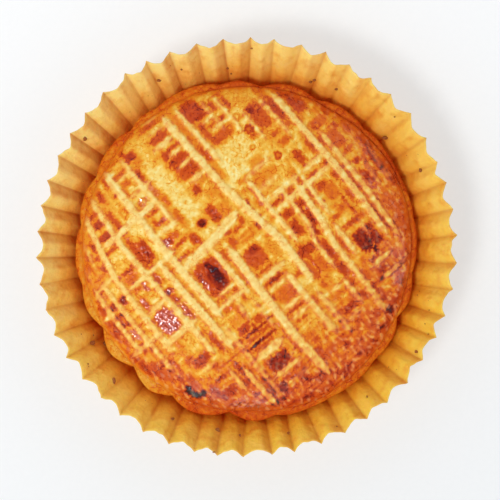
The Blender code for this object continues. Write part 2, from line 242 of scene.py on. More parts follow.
BROWNED = (
    (-12.4, 54.4, 2, 3, 0.84), (-10.8, 51.6, 4.4, 3.4, 0.88), (-9.5, 48.6, 3, 2, 0.55),
    (-17.8, 54.2, 5, 1.2, 0.72), (-17.8, 49.3, 5, 1.4, 0.7), (-23.7, 51.6, 1.4, 6, 0.84),
    (-28.2, 48.5, 2.4, 7, 0.82), (-24, 44.3, 1.4, 1.2, 0.85), (-17.8, 45.2, 3, 2.4, 0.7),
    (-20.3, 42.3, 1.4, 2.4, 0.68), (-12.3, 44, 2.2, 5.8, 0.8), (-11.8, 36, 1.8, 5, 0.62),
    (-11, 31.5, 1.9, 4, 0.68), (-11.2, 23.5, 1.8, 6, 0.68), (-19, 27.4, 1.3, 2.6, 0.8),
    (-17, 30.8, 5.2, 1.1, 0.82), (-16.6, 26.5, 5, 1.5, 0.84), (-34.5, 44.2, 3.8, 2, 0.76),
    (-34.8, 40.6, 4.2, 3, 0.9), (-35.8, 35.6, 6.2, 2.8, 0.84), (-29.7, 37.8, 2, 9, 0.82),
    (-37.3, 30.4, 5.6, 1.2, 0.8), (-42, 35.6, 1.6, 4, 0.85), (-43.3, 31.6, 1.4, 2.4, 0.86),
    (-46.5, 36, 2, 4.6, 0.84), (-48, 31.5, 2, 3.8, 0.7), (-51.8, 29.2, 1.8, 4.6, 0.82),
    (-44, 27, 1.8, 2.6, 0.86), (-47.2, 25.6, 4.6, 1.6, 0.62), (-30.6, 23.5, 2.6, 12.6, 0.8),
    (-27.8, 22.4, 3.2, 8.4, 0.88), (-38.4, 20.9, 5.8, 1.6, 0.88), (-38.4, 18.2, 5.4, 3.4, 0.62),
    (-49.2, 21.4, 3, 0.9, 0.85), (-50.6, 19.2, 2, 2.4, 0.6), (-54.8, 16.4, 3.2, 4.2, 0.78),
    (-45.8, 14, 2.4, 3.6, 0.95), (-40.5, 8.2, 2.4, 4.6, 0.8), (-36.4, 12.4, 1.6, 3.4, 0.78),
    (-39, 13.7, 3, 1.2, 0.7), (-31.2, 12, 1.8, 4, 0.82), (-26, 11, 1, 2, 0.6),
    (-38.5, -1.6, 7, 9.4, 0.86), (-31.6, 6, 4, 2.6, 0.88), (-31, 2.6, 1.8, 3.6, 0.8),
    (-30.6, -3.6, 2, 6.6, 0.8), (-25.6, -3, 0.9, 12, 0.56), (-56.4, -5.2, 3.4, 1.2, 0.9),
    (-51.6, -5, 2.4, 1.3, 0.85), (-50.3, 2, 1.8, 4.4, 0.72), (-47, 0.6, 2.4, 3, 0.45),
    (-48.4, 5.2, 2, 2, 0.62), (-56.4, -9.4, 3, 7, 0.86), (-53.4, -13, 3.4, 8, 0.78),
    (-51.4, -16, 2, 8, 0.74), (-46.5, -16.5, 1.6, 7, 0.8), (-15.7, 0.2, 9.8, 12, 0.84),
    (-15, -1.4, 5.2, 8, 0.98), (-14.2, -0.4, 3.2, 6, 1.12), (-14.6, 3.4, 2.2, 3.8, 1.06),
    (-19, -5, 3.4, 3, 0.76), (-19.6, 19.6, 3.4, 3, 0.9), (-16.4, 19.6, 3, 2.6, 0.72),
    (-16.6, 16.4, 5.4, 1.3, 0.86), (-11.9, 14.2, 2.8, 4.6, 0.84), (-18.2, 11.9, 5.2, 1.1, 0.77),
    (-6.5, 16.7, 3.1, 3.1, 1.0), (-0.9, 16.4, 3.8, 6.4, 0.84), (3, 15.4, 4, 4.6, 0.5),
    (5.2, 20, 1, 3.4, 0.6), (4, 22.5, 4, 2.6, 0.5), (1.6, 56, 8, 2, 0.82), (1.8, 50.2, 7.6, 3, 0.78),
    (2, 44.2, 8, 1.5, 0.84), (-0.8, 43, 2.4, 3.6, 0.84), (1.9, 39.4, 8, 3.2, 0.83),
    (-0.6, 37, 2, 2.6, 0.8), (2, 34, 7.6, 4.4, 0.78), (2.8, 28.3, 5.6, 1.2, 0.5), (0, 27, 3, 3.2, 0.86),
    (10.4, 35, 1.9, 8, 0.84), (10.3, 46.5, 1.9, 14, 0.6), (10, 27.5, 1.8, 6, 0.52),
    (16.9, 50, 7, 8.6, 0.84), (17.8, 46.2, 4.6, 2, 0.9), (15.6, 41, 2.4, 8, 0.76),
    (19.4, 36, 8.4, 3.8, 0.72), (17.6, 35, 3, 1.6, 0.84), (19, 41.1, 3, 1.2, 0.7),
    (23.7, 41, 1.7, 1.9, 0.86), (23.6, 46.6, 1.8, 4, 0.8), (28.2, 44.5, 1.8, 4.4, 0.8),
    (28, 48.6, 2, 2, 0.72), (28, 28.6, 2, 1.6, 0.72), (34.2, 32.8, 5.4, 10.8, 0.78),
    (32.9, 36.4, 2.6, 2.6, 0.96), (40.3, 31, 2.8, 11, 0.84), (40, 39, 1.6, 4, 0.6),
    (45.7, 34.4, 2.2, 4.4, 0.84), (47.6, 28.6, 5.2, 9.6, 0.84), (34.4, 24.1, 3.8, 1.6, 0.74),
    (40, 24, 2.8, 1.8, 0.7), (35, 20, 4.2, 2.4, 0.7), (22.5, 21, 3.6, 2.4, 0.5),
    (14.4, 18.8, 2, 1, 0.6), (14.8, 12.6, 1.2, 5, 0.62), (13.7, 9, 1.8, 3, 0.66),
    (20.9, 15.3, 8.6, 2.8, 0.5), (19.3, 10, 5.4, 2.6, 0.42), (35.2, 12, 3, 5.6, 0.82),
    (40.8, 12.7, 1.9, 6, 0.76), (45.1, 11.4, 1.6, 5.4, 0.78), (49.9, 8.8, 5, 7.4, 0.7),
    (48.6, 17.4, 7, 4, 0.66), (52.6, 12.6, 1.7, 2.2, 0.82), (54.2, 19, 3.4, 4, 0.84),
    (56, 9, 2, 5, 0.74), (57.4, 1, 3, 8, 0.84), (19.2, 5, 4.4, 1.4, 0.82), (24.9, 5.2, 2.4, 1.8, 0.72),
    (35.3, 4.5, 4, 1.5, 0.82), (40.8, 4.5, 2, 1.8, 0.82), (50.2, 2.8, 4.4, 1.6, 0.74),
    (29.5, 2, 1.3, 10.4, 0.8), (18.9, -0.6, 4.4, 3, 0.8), (24.8, -0.6, 2.8, 3.2, 0.8),
    (34.6, -0.9, 3.8, 3, 0.76), (40.8, -1, 1.9, 3.4, 0.78), (45.2, -2, 1.2, 4, 0.7),
    (50.2, -2, 2.9, 2.2, 0.92), (-1.3, 7.8, 3, 1.6, 0.8), (2, 7.1, 4, 1.2, 0.74),
    (4.8, 8.3, 1.8, 2.4, 0.8), (-2.3, 4.3, 2.6, 3.6, 0.76), (2.8, 3.9, 5, 0.9, 0.62),
    (2.8, 2.1, 5, 0.9, 0.62), (0.3, -4.6, 7.4, 7.6, 0.78), (1.2, -2.4, 4.4, 2.8, 0.92),
    (9, 3.3, 3, 3.2, 0.86), (8.6, -1.6, 2, 1.2, 0.6), (7, -6.4, 4, 8, 0.45),
    (-7.6, 2.8, 1.6, 4.6, 0.74), (-7.6, -8.5, 1.2, 6, 0.66), (-0.2, -10.3, 6, 1, 0.8),
    (0.2, -15, 7.4, 1.9, 0.88), (1.6, -15.4, 2, 1, 0.98), (7.9, -18.9, 2.6, 1.8, 0.76),
    (-4, -20, 1.6, 2.4, 0.86), (0.2, -21.6, 7.4, 5.6, 0.64), (-0.8, -27.8, 7.4, 1.3, 0.86),
    (-1.6, -32, 5, 1, 0.84), (-18, -8.2, 4.4, 1.3, 0.74), (-12.8, -8.8, 2, 1.2, 0.72),
    (-18.8, -12.7, 4.2, 2, 0.66), (-16.8, -16, 1.4, 6, 0.68), (-12.2, -13, 1.4, 2.2, 0.76),
    (-19.6, -17.6, 3.6, 3, 0.54), (-19.4, -21.6, 5, 3.4, 0.82), (-13.2, -22, 3.6, 3, 0.78),
    (-17, -24.4, 12, 1.2, 0.98), (-16.1, -24, 1, 6.4, 0.94), (-19.6, -26.3, 4.4, 1.6, 0.8),
    (-13.4, -26.3, 4, 1.6, 0.82), (-17, -28.6, 12, 1.5, 0.96), (-17.6, -30.3, 9, 1.4, 0.78),
    (-19.6, -28.4, 5.4, 1.1, 1.14), (-29, -26.9, 12, 0.8, 0.74), (-24, -23.9, 4, 0.8, 0.72),
    (-17.4, -38.3, 9.2, 5.2, 0.98), (-9.6, -36, 0.9, 9, 0.76), (-9.8, -38.6, 1.8, 0.9, 0.92),
    (-25.8, -41, 2.2, 5, 0.86), (-27.2, -46.4, 1.8, 8, 0.9), (-22.6, -47.4, 2.6, 5.6, 0.98),
    (-19.2, -44.6, 4.2, 1.5, 0.88), (-13.8, -44.4, 3, 1.3, 0.88), (-20, -49.4, 6, 1.8, 0.84),
    (-13.6, -50, 2.8, 3, 0.88), (-50.2, 14.6, 2.8, 2.6, 0.88), (-9.6, -52.6, 5, 3.6, 0.84),
    (-3, -38.6, 4, 2.2, 0.66), (-2.6, -41, 3.2, 2, 0.8), (-4.2, -44.8, 3, 3.8, 0.82),
    (-1, -47.4, 3, 3, 0.76), (-38.3, -20, 7.4, 3.4, 0.86), (-30, -18.4, 1.9, 10, 0.84),
    (-41, -10.4, 1.8, 4, 0.6), (-36, -25.6, 2.2, 1.6, 0.76), (-37.2, -29.7, 5, 1.8, 0.88),
    (-30, -31.2, 2.4, 6.6, 0.86), (-31.2, -36.6, 2.6, 4.2, 0.88), (-37.6, -35.4, 6, 3.8, 0.88),
    (-41, -35.6, 2, 3.4, 0.98), (-38.4, -41.3, 5, 1.2, 0.86), (-31.4, -42.3, 2.6, 1.8, 0.96),
    (-46.2, -23.8, 3.4, 5, 0.8), (-41.8, -32.6, 2.2, 6, 0.92), (-46.4, -26.4, 3, 2.6, 0.8),
    (-48.4, -20.4, 1.8, 4, 0.9), (-40.6, -27, 1.6, 1.2, 0.66), (-33.8, -46.6, 4, 4, 0.72),
    (14.6, -18.6, 1.4, 13, 0.86), (15.8, -14.8, 7, 4, 0.82), (12.4, -21.4, 2.6, 8, 0.7),
    (16.6, -21.8, 3, 7, 0.66), (12.4, -28, 2, 3, 0.72), (6.6, -30, 1.8, 4, 0.68),
    (8.5, -36.6, 1.7, 0.9, 0.98), (14, -40.2, 6.4, 3.2, 0.88), (14.4, -33.9, 5.4, 1.4, 0.64),
    (14.6, -45.4, 4, 1.4, 0.74), (5, -49.5, 2.4, 2.4, 0.85), (18.3, -6.4, 3.3, 6.2, 0.86),
    (24.3, -6.4, 2.2, 7.6, 0.88), (22.6, -11.4, 1.8, 4.8, 0.9), (21.7, -19.6, 2.5, 11, 0.84),
    (21, -28.2, 2.8, 6.4, 0.86), (20.9, -34, 1.6, 5, 0.78), (20.8, -40, 1.6, 4, 0.86),
    (26.8, -21.4, 1.6, 7.4, 0.76), (26.2, -35, 1.8, 4, 0.74), (25.8, -41.4, 1.9, 5.8, 0.86),
    (36, -4.6, 5, 6, 0.64), (40.3, -9.6, 2, 5.6, 0.76), (37.3, -12, 1.3, 8, 0.86),
    (34, -17.6, 7, 1.7, 0.84), (31.6, -12.4, 4, 1.8, 0.76), (44.6, -7, 1.2, 12, 0.76),
    (43.2, -20, 1.6, 15, 0.8), (49.3, -9.1, 2.6, 7, 0.9), (48.8, -13.2, 1.6, 1.6, 0.86),
    (33.2, -25.3, 5.2, 8.6, 1.0), (37.6, -27.2, 3.6, 6, 0.97), (38, -22.9, 3, 3.4, 0.86),
    (34.6, -30.6, 2, 2.8, 1.14), (32.3, -32.5, 4.4, 1.6, 0.9), (32, -37.4, 4.2, 2.6, 0.9),
    (48.6, -29, 5, 7, 0.7), (55.4, -5, 2, 12, 0.84), (55.2, 19.4, 3, 4, 0.92),
    (50, -21.4, 3.4, 10, 0.7), (35.2, -11.6, 4.4, 2.6, 0.64), (34.8, -45.4, 3.2, 5.4, 0.82),
    (24.8, -50.6, 3, 3, 0.94), (20, -48.6, 2.6, 3, 0.84),
)
# Browned rings round a pale middle: (across, along, half the width, half the length, how baked)
BROWNED_RINGS = (
    (9.7, 12, 1.9, 1.8, 0.84), (29.7, 17.6, 1.6, 1.7, 0.84), (47.4, 16.9, 1.8, 1.8, 0.76),
    (28.1, 31.3, 1.8, 1.9, 0.86), (35, 35.6, 1.5, 1.3, 0.82), (-56, 8.6, 2.3, 3.5, 0.84),
    (-50.2, 8.6, 2.3, 3, 0.84), (-56.6, 1.6, 2, 3, 0.7), (-25.2, 37.6, 1.8, 2.4, 0.5),
    (-17.4, 36.2, 2.3, 1.6, 0.62), (27.7, 37.6, 1.5, 1.7, 0.48), (24.7, 25.5, 1.3, 1.1, 0.5),
)
# How baked the lid is just round a browned patch
HALO_BAKE = 0.46
# The lid is palest near this place, and browns from the first of these distances to the second
PALEST_PLACE = (-9.0 * MM, 11.0 * MM)
BROWNING_REACH = (34.0 * MM, 76.0 * MM)
# Fork holes right through the lid: (across, along, radius) in millimetres
HOLES = ((-6.5, 16.7, 1.3), (-45.8, 14, 1.2))
# The burnt arc near the lower left edge, nearly black and in places taking the painted bluish reflection
# of the last crust colour: middle across and along, radius, and which way it faces
BURNT_ARC = (-46.0, -26.4, 3.2, 215.0)
# Where the egg wash lies thick and wet: (across, along, width, length, how wet) in millimetres
WET = (
    (-38.5, -1.6, 8, 10.2, 0.7), (-30.7, -2.6, 3, 11, 0.8), (-50.4, 1.8, 2.6, 5, 0.7),
    (-31.6, 6, 3, 2.4, 0.5), (-20.4, 18.8, 3, 4.6, 0.7), (-19.4, 0.6, 2.4, 8, 0.6),
    (-47.4, -27.8, 6, 7, 0.3), (-42.4, -34, 5, 9, 0.4), (-38.2, -41.5, 7, 5, 0.7),
    (-34.4, -46.8, 8, 8, 0.7), (-31.4, -42.4, 4, 3, 0.5), (-27.2, -47, 3, 9, 0.25),
    (-22.8, -47, 3, 6, 0.15), (-48, -17, 3, 9, 0.15), (35.6, -45.4, 7, 11, 0.5), (49, -12.8, 3, 6, 0.3),
    (-17.4, 36.2, 4.8, 3.2, 0.8), (-11.9, 37, 2, 4.6, 0.7), (-16.2, 26.4, 4, 1.8, 0.6),
    (-36.6, 12.4, 2, 3.6, 0.6), (-31.2, 11.4, 2, 3, 0.7), (-19.6, 11.8, 3, 1.4, 0.7),
    (-40.4, 8.4, 2.2, 4.6, 0.4), (-45.8, 14, 2.4, 3.6, 0.3), (42, -38, 12, 12, 0.25),
    (32, -34, 8, 6, 0.15), (-45, -37, 12, 12, 0.4), (55, 4, 6, 14, 0.12),
)

# Crumbs of crust on the case's wall: (degrees, millimetres from the middle, size in millimetres)
CRUMBS = (
    (24, 69, 0.7), (38.5, 65, 1.2), (60.3, 66.8, 1.0), (68, 66.3, 1.0), (69, 65.2, 0.7),
    (88.5, 71.5, 0.7), (96, 66, 0.5), (95, 64.2, 0.5), (110, 68.7, 0.9), (117.5, 68.4, 0.8),
    (145.8, 70.3, 1.3), (211.5, 66, 1.3), (214, 62.6, 1.0), (225, 68, 1.1), (246.5, 67.5, 1.0),
    (261, 74, 0.6), (261, 67, 0.8), (268, 68, 0.7), (282.8, 68.7, 0.8), (328.5, 71.5, 1.1),
    (309, 69, 0.5), (139, 73.5, 0.7),
)
LOOSE_CRUMBS = 46
CRUMB_SEED = 73

# The window's soft light, the brightness of the room and the table
WINDOW_PLACE = (-0.50, -0.42, 1.15)
WINDOW_SIZE = 0.32
WINDOW_WATTS = 6.8
WINDOW_TINT = (1.0, 0.98, 0.94)
ROOM_STRENGTH = 1.23
TABLE_REACH = 1.5
TABLE_TOP = -0.1 * MM
TABLE_GLOW = 0.41

# Seeds of the shapes that the solids have too
SEEDS = {"rim_radius": 3, "rim_height": 5, "flute_depth": 7, "flute_angle": 11, "outline": 13, "swell": 17}


# Shapes that the solids have too


def smooth_step(low, high, value):
    """0 below low, 1 above high, and a smooth rise between them."""
    share = np.clip((value - low) / (high - low), 0.0, 1.0)
    return share * share * (3.0 - 2.0 * share)


def ring_noise(theta, lowest, highest, seed):
    """A smooth random wobble of a few waves round a circle, mostly between -1 and 1."""
    draw = np.random.default_rng(seed)
    total = np.zeros_like(theta)
    for waves in range(lowest, highest + 1):
        total += np.sin(waves * theta + draw.uniform(0.0, FULL_TURN))
    return total / math.sqrt(2.0 * (highest - lowest + 1))


def bump_noise(x, y, length, seed, waves=20):
    """Smooth random bumps over a plane, made of waves about this long that run every way."""
    draw = np.random.default_rng(seed)
    total = np.zeros_like(x)
    for _ in range(waves):
        heading, phase = draw.uniform(0.0, FULL_TURN, 2)
        wave = length * draw.uniform(0.7, 1.5)
        total += np.sin((x * math.cos(heading) + y * math.sin(heading)) * FULL_TURN / wave + phase)
    return total / math.sqrt(2.0 * waves)


def wall_radius(height):
    return FOOT_RADIUS + (RIM_RADIUS - FOOT_RADIUS) * (height / RIM_HEIGHT) ** WALL_CURVE


def wall_slope(height):
    share = height / RIM_HEIGHT
    return WALL_CURVE * (RIM_RADIUS - FOOT_RADIUS) / RIM_HEIGHT * share ** (WALL_CURVE - 1.0)


def flute_depth(height):
    return FLUTE_DEPTH * (height / RIM_HEIGHT) ** FLUTE_GROWTH


def flute_shape(turn):
    """A flute's outline from -0.4 at its round inner fold to 0.6 at its sharp outer crease."""
    share = (turn / FULL_TURN) % 1.0
    return np.abs(2.0 * share - 1.0) ** FLUTE_CURVE - 0.4


def off_centre(height):
    return -OFF_CENTRE * (1.0 - height / RIM_HEIGHT)


def pie_outline(theta):
    """The crust's outer radius round the pie, with the dents pressed in its edge."""
    radius = PIE_RADIUS + 0.35 * MM * ring_noise(theta, 3, 14, SEEDS["outline"])
    for degrees, reach, depth in CRIMPS:
        away = np.degrees(np.abs((theta - math.radians(degrees) + math.pi) % FULL_TURN - math.pi))
        radius = radius - depth * MM * np.clip(1.0 - away / reach, 0.0, 1.0) ** 1.6
    return radius


def lid_edge(theta):
    """The lid's outer radius, which keeps inside the pinched edge of the shell."""
    degrees, reach = zip(*LID_REACH)
    wanted = np.interp(np.degrees(theta), degrees, reach, period=360.0) * MM
    wanted = wanted + 0.2 * MM * ring_noise(theta, 9, 44, seed=113)
    return np.minimum(wanted, pie_outline(theta) - NARROWEST_SHELF)


def side_radius(z):
    """The shell's radius low down, where it keeps clear of the case's inner folds."""
    fold = wall_radius(z) - 0.4 * flute_depth(z)
    lean = math.atan(wall_slope(z))
    shift = OFF_CENTRE + off_centre(z)
    return min(fold - BASE_PAPER / math.cos(lean) - shift - SIDE_CLEARANCE, PIE_RADIUS)


def score_frame(x, y):
    """Millimetres across and along the long bars."""
    across = (x * math.cos(SCORE_ANGLE) + y * math.sin(SCORE_ANGLE)) / MM
    along = (-x * math.sin(SCORE_ANGLE) + y * math.cos(SCORE_ANGLE)) / MM
    return across, along


def bars_at(across, along):
    """How far each place is up a scored bar, from 0 in a pane to 1 on top."""
    open_share = np.ones_like(across)
    for width, share, points in LONG_BARS + CROSS_BARS:
        on_bar = np.zeros_like(across)
        whole = sum(math.dist(start, end) for start, end in zip(points, points[1:]))
        run = 0.0
        for (x0, y0), (x1, y1) in zip(points, points[1:]):
            length = math.hypot(x1 - x0, y1 - y0)
            way_x, way_y = (x1 - x0) / length, (y1 - y0) / length
            reach = np.clip((across - x0) * way_x + (along - y0) * way_y, 0.0, length)
            gap = np.hypot(across - x0 - reach * way_x, along - y0 - reach * way_y)
            from_end = np.minimum(run + reach, whole - run - reach)
            edge = 0.5 * width * (0.3 + 0.7 * smooth_step(0.0, BAR_TAPER, from_end))
            on_bar = np.maximum(on_bar, 1.0 - smooth_step(edge - BAR_SOFTNESS, edge + BAR_SOFTNESS, gap))
            run += length
        open_share = open_share * (1.0 - share * on_bar)
    return 1.0 - open_share


# Meshes


def new_piece(name, points, faces, material, values=None):
    """A mesh object with a value at each point for each named attribute."""
    data = bpy.data.meshes.new(name)
    data.from_pydata(points, [], faces)
    for attribute, numbers in (values or {}).items():
        data.attributes.new(attribute, "FLOAT", "POINT").data.foreach_set("value", numbers)
    data.validate()
    data.shade_smooth()
    data.materials.append(material)
    piece = bpy.data.objects.new(name, data)
    bpy.context.scene.collection.objects.link(piece)
    return piece


def ring_faces(first, second):
    """Quads between two closed rings of point numbers."""
    return np.stack([first, second, np.roll(second, -1), np.roll(first, -1)], axis=1)


def wall_ring(level, inner):
    """One ring of points round the case's wall, on its outer or inner face."""
    count = FLUTES * COLUMNS_PER_FLUTE
    turn = np.arange(count) * FULL_TURN / COLUMNS_PER_FLUTE
    theta = turn / FLUTES + FLUTE_PHASE
    wobble = level * ring_noise(theta, 2, 9, SEEDS["rim_radius"]) * 0.4 * MM
    lift = level * ring_noise(theta, 2, 7, SEEDS["rim_height"]) * 0.4 * MM
    deeper = 1.0 + 0.2 * ring_noise(theta, 6, 24, SEEDS["flute_depth"])
    theta = theta + math.radians(0.6) * ring_noise(theta, 3, 16, SEEDS["flute_angle"])
    theta = theta + math.radians(0.35) * math.sin(5.0 * level) * ring_noise(theta, 12, 44, seed=19)
    height = level * RIM_HEIGHT
    radius = wall_radius(height) + wobble + flute_depth(height) * deeper * flute_shape(turn)
    x, y = radius * np.cos(theta), radius * np.sin(theta)
    wrinkles = bump_noise(x, y, 4.0 * MM, seed=23, waves=30)
    squeezed = 0.25 + 0.75 * RIM_RADIUS / radius
    pleats = bump_noise(x * squeezed, y * squeezed, 3.0 * MM, seed=97, waves=30)
    radius = radius + math.sqrt(level) * WRINKLE * (wrinkles + pleats)
    z = np.full(count, height) + lift
    if inner:
        lean = math.atan(wall_slope(height))
        radius = radius - WALL_PAPER * math.cos(lean)
        z = z + WALL_PAPER * math.sin(lean)
        if level == 0.0:
            z = z + BASE_PAPER
    points = np.stack([radius * np.cos(theta), radius * np.sin(theta) + off_centre(height), z], axis=1)
    share = (turn / FULL_TURN) % 1.0
    crease = np.abs(2.0 * share - 1.0)
    # Painted shade: each flute's face turned from the window, and the inner side of its outer crease, get
    # a share of shade that the material multiplies in
    away = np.cos(theta - math.radians(SHADED_FLUTES))
    one_side = np.clip(away, 0.0, 1.0) * (1.0 - smooth_step(0.34, 0.52, share))
    other_side = np.clip(-away, 0.0, 1.0) * smooth_step(0.5, 0.8, share)
    uneven = 1.0 + 0.35 * ring_noise(theta, 3, 30, seed=101)
    painted_fold_shade = uneven * (0.45 * one_side + 0.5 * other_side + 0.2 * smooth_step(0.72, 1.0, crease))
    return points, theta, crease, np.clip(painted_fold_shade, 0.0, 1.0)


def make_case(material):
    """The pleated sheet: up its outer face, over the rim and down its inner face."""
    levels = np.linspace(0.0, 1.0, WALL_LEVELS)
    count = FLUTES * COLUMNS_PER_FLUTE
    points, depth, crease, painted_fold_shade, soaked = [], [], [], [], []
    rows = [(level, False) for level in levels] + [(level, True) for level in levels[::-1]]
    for level, inner in rows:
        ring, theta, fold, painted_shade_ring = wall_ring(level, inner)
        points.append(ring)
        depth.append(np.full(count, 1.0 - level))
        crease.append(fold)
        painted_fold_shade.append(painted_shade_ring)
        soaked.append(0.5 + 0.5 * np.cos(theta - math.radians(SOAKED_SIDE)))
    numbers = np.arange(len(rows) * count).reshape(len(rows), count)
    faces = [ring_faces(upper, lower) for lower, upper in zip(numbers, numbers[1:])]
    sheet = np.concatenate(faces).tolist() + [numbers[0][::-1].tolist(), numbers[-1].tolist()]
    values = {
        "depth": np.concatenate(depth),
        "crease": np.concatenate(crease),
        "painted_fold_shade": np.concatenate(painted_fold_shade),
        "soaked": np.concatenate(soaked),
    }
    return new_piece("pleated_case", np.concatenate(points).tolist(), sheet, material, values)


def disc_grid(count):
    """A square grid wrapped onto a disc: each point's share of the radius, and its angle."""
    line = np.linspace(-1.0, 1.0, count + 1)
    a, b = np.meshgrid(line, line, indexing="ij")
    wide = np.abs(a) > np.abs(b)
    longer = np.where(wide, a, b)
    shorter = np.where(wide, b, a)
    slant = 0.25 * math.pi * shorter / np.where(longer == 0.0, 1.0, longer)
    theta = np.where(wide, slant, 0.5 * math.pi - slant) + math.pi * (longer < 0.0)
    return np.abs(longer), theta


def patch_reach(across, along, patch):
    """0 in a patch's middle and 1 on its outline, which is a box with round corners."""
    middle_across, middle_along, width, length = patch[:4]
    part_across = np.abs(across - middle_across) / (0.5 * width)
    part_along = np.abs(along - middle_along) / (0.5 * length)
    return (part_across**4 + part_along**4) ** 0.25


def paint_patches(baked, across, along, patches, rough):
    """Moves how baked the lid is towards each patch's own value inside its ragged outline."""
    for patch in patches:
        width, length, target = patch[2:]
        beyond = (patch_reach(across, along, patch) - 1.0) * 0.5 * min(width, length)
        if target > HALO_BAKE:
            halo = 1.0 - smooth_step(0.0, 1.3, beyond + 0.4 * rough)
            baked = baked + np.maximum(HALO_BAKE - baked, 0.0) * halo
        inside = 1.0 - smooth_step(-0.45, 0.35, beyond + 0.42 * rough)
        baked = baked + (target - baked + 0.06 * rough) * inside
    return baked


def wet_glaze(across, along, rough):
    """How thick and wet the egg wash lies, from 0 to 1."""
    wet = np.zeros_like(across)
    for patch in WET:
        reach = patch_reach(across, along, patch) + 0.15 * rough
        wet = np.maximum(wet, patch[4] * (1.0 - smooth_step(0.6, 1.2, reach)))
    return wet


def paint_rings(baked, across, along, rough):
    """Rings of brown round a pale middle, where a blister rose."""
    for middle_across, middle_along, half_width, half_length, target in BROWNED_RINGS:
        gap = np.hypot((across - middle_across) / half_width, (along - middle_along) / half_length)
        gap = gap + 0.22 * rough
        baked = baked + np.maximum(target - baked, 0.0) * (1.0 - smooth_step(0.75, 1.2, gap))
        baked = baked - 0.24 * (1.0 - smooth_step(0.1, 0.62, gap))
    return baked


def paint_arc(baked, across, along, rough):
    """The burnt arc, which is nearly black."""
    middle_across, middle_along, radius, facing = BURNT_ARC
    gap = np.abs(np.hypot(across - middle_across, along - middle_along) - radius)
    turned = np.arctan2(along - middle_along, across - middle_across) - math.radians(facing)
    strength = smooth_step(-0.05, 0.35, np.cos(turned)) * (1.0 - smooth_step(0.2, 2.1, gap + 0.4 * rough))
    return baked + (1.2 - baked) * strength


def lobe_bake(theta):
    """How baked the shell's rim is round the pie."""
    degrees, tones = zip(*SHELF_BAKE)
    smooth = np.interp(np.degrees(theta), degrees, tones, period=360.0)
    return smooth + 0.06 * ring_noise(theta, 5, 30, seed=67)


def lid_bake(x, y, bars, theta, share, rough):
    """How baked each point of the lid is, with pale bars and brown edges, and how floury it is."""
    across, along = score_frame(x, y)
    blotch = bump_noise(x, y, 7.0 * MM, seed=37)
    mottle = bump_noise(x, y, 3.2 * MM, seed=41)
    one_way = smooth_step(-0.4, 0.4, bump_noise(x, y, 11.0 * MM, seed=139))
    streaks = one_way * bump_noise(across, 0.12 * along, 1.6, seed=79, waves=30)
    streaks = streaks + (1.0 - one_way) * bump_noise(0.12 * across, along, 1.6, seed=83, waves=30)
    edge = smooth_step(*BROWNING_REACH, np.hypot(x - PALEST_PLACE[0], y - PALEST_PLACE[1]))
    rim = smooth_step(0.90, 1.0, share)
    flakes = edge * smooth_step(0.1, 0.9, bump_noise(across, 0.5 * along, 1.7, seed=163, waves=40))
    pane = 0.28 + 0.13 * blotch + 0.10 * mottle + 0.10 * streaks + 0.48 * edge - 0.26 * flakes
    bar = 0.19 + 0.08 * mottle + 0.06 * streaks + 0.03 * rough + edge * (0.27 + 0.16 * mottle)
    baked = paint_patches(pane, across, along, PALE_DOUGH, 2.0 * rough)
    baked = paint_patches(baked, across, along, BROWNED, rough)
    baked = paint_rings(baked, across, along, rough)
    foot = 4.0 * bars * (1.0 - bars)
    baked = baked + 0.2 * foot * (0.4 + 0.8 * mottle + 0.7 * edge)
    baked = baked + (bar - baked) * smooth_step(0.3, 0.8, bars)
    baked = paint_arc(baked, across, along, rough)
    baked = baked + rim * (0.07 + 0.09 * np.cos(theta + math.radians(50.0)))
    baked = baked + (lobe_bake(theta) - baked) * 0.8 * smooth_step(0.955, 1.0, share + 0.006 * mottle)
    return baked, np.maximum(bars * (1.3 - 0.6 * edge), flakes)


def stray(x, y, broad_seed, fine_seed):
    """How many millimetres the bars stray from their straight lines."""
    broad = 0.14 * bump_noise(x, y, 4.5 * MM, broad_seed)
    return broad + 0.17 * bump_noise(x, y, 1.7 * MM, fine_seed, waves=30)


def lid_shape(share, theta):
    """The lid's points, and how baked, how glazed, how glossy and how floury they are."""
    radius = share * lid_edge(theta)
    x, y = radius * np.cos(theta), radius * np.sin(theta) - OFF_CENTRE
    across, along = score_frame(x, y)
    wane = np.clip(0.92 + 0.22 * bump_noise(x, y, 5.0 * MM, seed=137), 0.4, 1.0)
    bars = wane * bars_at(across + stray(x, y, 43, 127), along + stray(x, y, 47, 131))
    rough = bump_noise(x, y, 2.2 * MM, seed=31) + bump_noise(x, y, 1.1 * MM, seed=151, waves=30)
    baked, floury = lid_bake(x, y, bars, theta, share, 0.75 * rough)
    glazed = (1.0 - bars) * smooth_step(0.3, 0.75, baked)
    gloss = np.clip(0.09 * glazed + (1.0 - 0.7 * bars) * wet_glaze(across, along, rough), 0.0, 1.0)
    dome = (1.0 - np.clip(share, 0.0, 1.0) ** DOME_FLATNESS) ** DOME_SHOULDER
    fade = 1.0 - smooth_step(0.95, 1.0, share)
    relief = BAR_HEIGHT * bars + SWELL_HEIGHT * bump_noise(x, y, SWELL_LENGTH, SEEDS["swell"])
    relief = relief + CRUMBLE_HEIGHT * (1.0 - 0.7 * glazed) * bump_noise(x, y, 1.5 * MM, seed=53, waves=30)
    relief = relief + BLISTER_HEIGHT * (1.0 - bars) * bump_noise(x, y, 3.0 * MM, seed=59)
    for hole_across, hole_along, hole_radius in HOLES:
        gap = np.hypot(across - hole_across, along - hole_along)
        relief = relief - HOLE_DEPTH * (1.0 - smooth_step(0.4 * hole_radius, 1.2 * hole_radius, gap))
    z = LID_EDGE + (PIE_TOP - LID_EDGE) * dome + fade * relief
    return np.stack([x, y, z], axis=-1), baked, glazed, gloss, floury


